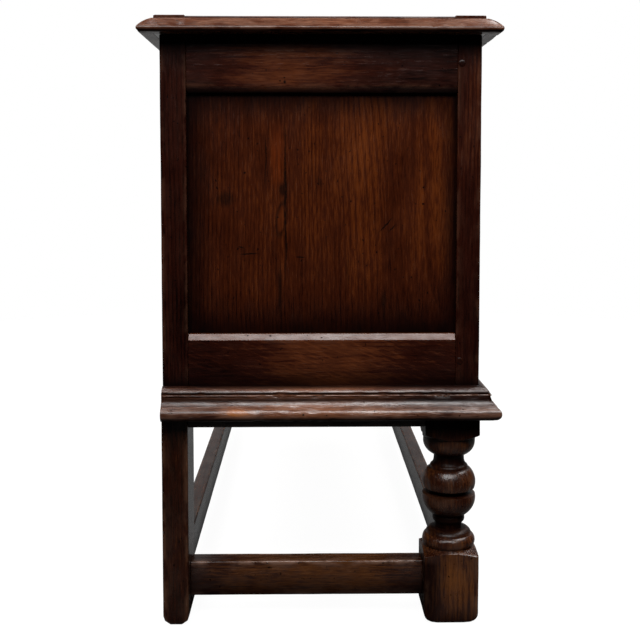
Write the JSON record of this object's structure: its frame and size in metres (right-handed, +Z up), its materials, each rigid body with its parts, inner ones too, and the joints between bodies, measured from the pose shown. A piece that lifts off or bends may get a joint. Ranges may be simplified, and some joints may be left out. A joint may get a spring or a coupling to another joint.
{
  "type": "blanket chest",
  "caption": "Long oak blanket chest: framed and panelled case with a moulded base on a low stretchered stand with turned front legs, under a framed lid on butt hinges.",
  "frame": {"origin": "on the floor, under the middle of the chest", "axes": "+X along the length to the right of someone facing the front, the front faces -Y, +Z up"},
  "size_m": [1.222, 0.465, 0.7955],
  "materials": {
    "oak_frame": "dark stained oak, waxed",
    "oak_panel": "dark stained oak, waxed",
    "oak_moulding": "dark stained oak, worn and waxed",
    "oak_stand": "dark stained oak, worn",
    "oak_inside": "bare oak, dry",
    "hinge_iron": "aged dark steel"
  },
  "bodies": {
    "case": {"front_left_leg": "oak_stand", "front_right_leg": "oak_stand", "back_left_leg": "oak_stand", "back_right_leg": "oak_stand", "stand_front_rail": "oak_stand", "stand_back_rail": "oak_stand", "stand_left_rail": "oak_stand", "stand_right_rail": "oak_stand", "front_stretcher": "oak_stand", "back_stretcher": "oak_stand", "left_stretcher": "oak_stand", "right_stretcher": "oak_stand", "stand_front_moulding": "oak_moulding", "stand_left_moulding": "oak_moulding", "stand_right_moulding": "oak_moulding", "front_left_stile": "oak_frame", "front_right_stile": "oak_frame", "back_left_stile": "oak_frame", "back_right_stile": "oak_frame", "front_top_rail": "oak_frame", "front_bottom_rail": "oak_frame", "front_left_muntin": "oak_frame", "front_right_muntin": "oak_frame", "front_left_panel": "oak_panel", "front_centre_panel": "oak_panel", "front_right_panel": "oak_panel", "back_top_rail": "oak_frame", "back_bottom_rail": "oak_frame", "back_muntin": "oak_frame", "back_left_panel": "oak_panel", "back_right_panel": "oak_panel", "left_top_rail": "oak_frame", "left_bottom_rail": "oak_frame", "left_end_panel": "oak_panel", "right_top_rail": "oak_frame", "right_bottom_rail": "oak_frame", "right_end_panel": "oak_panel", "floor_board_1": "oak_inside", "floor_board_2": "oak_inside", "floor_board_3": "oak_inside", "floor_board_4": "oak_inside", "left_hinge_case_leaf": "hinge_iron", "left_hinge_pin": "hinge_iron", "right_hinge_case_leaf": "hinge_iron", "right_hinge_pin": "hinge_iron"},
    "lid": {"lid_front_stile": "oak_frame", "lid_back_stile": "oak_frame", "lid_left_rail": "oak_frame", "lid_right_rail": "oak_frame", "lid_left_muntin": "oak_frame", "lid_right_muntin": "oak_frame", "lid_left_panel": "oak_panel", "lid_centre_panel": "oak_panel", "lid_right_panel": "oak_panel", "lid_front_moulding": "oak_moulding", "lid_back_moulding": "oak_moulding", "lid_left_moulding": "oak_moulding", "lid_right_moulding": "oak_moulding", "left_hinge_lid_leaf": "hinge_iron", "right_hinge_lid_leaf": "hinge_iron"}
  },
  "joints": [
    {"name": "lid_hinge", "type": "hinge", "parent": "case", "child": "lid", "pos_m": [0, 0.211, 0.77165], "axis": [-1, 0, 0], "range_deg": [0, 104]}
  ]
}
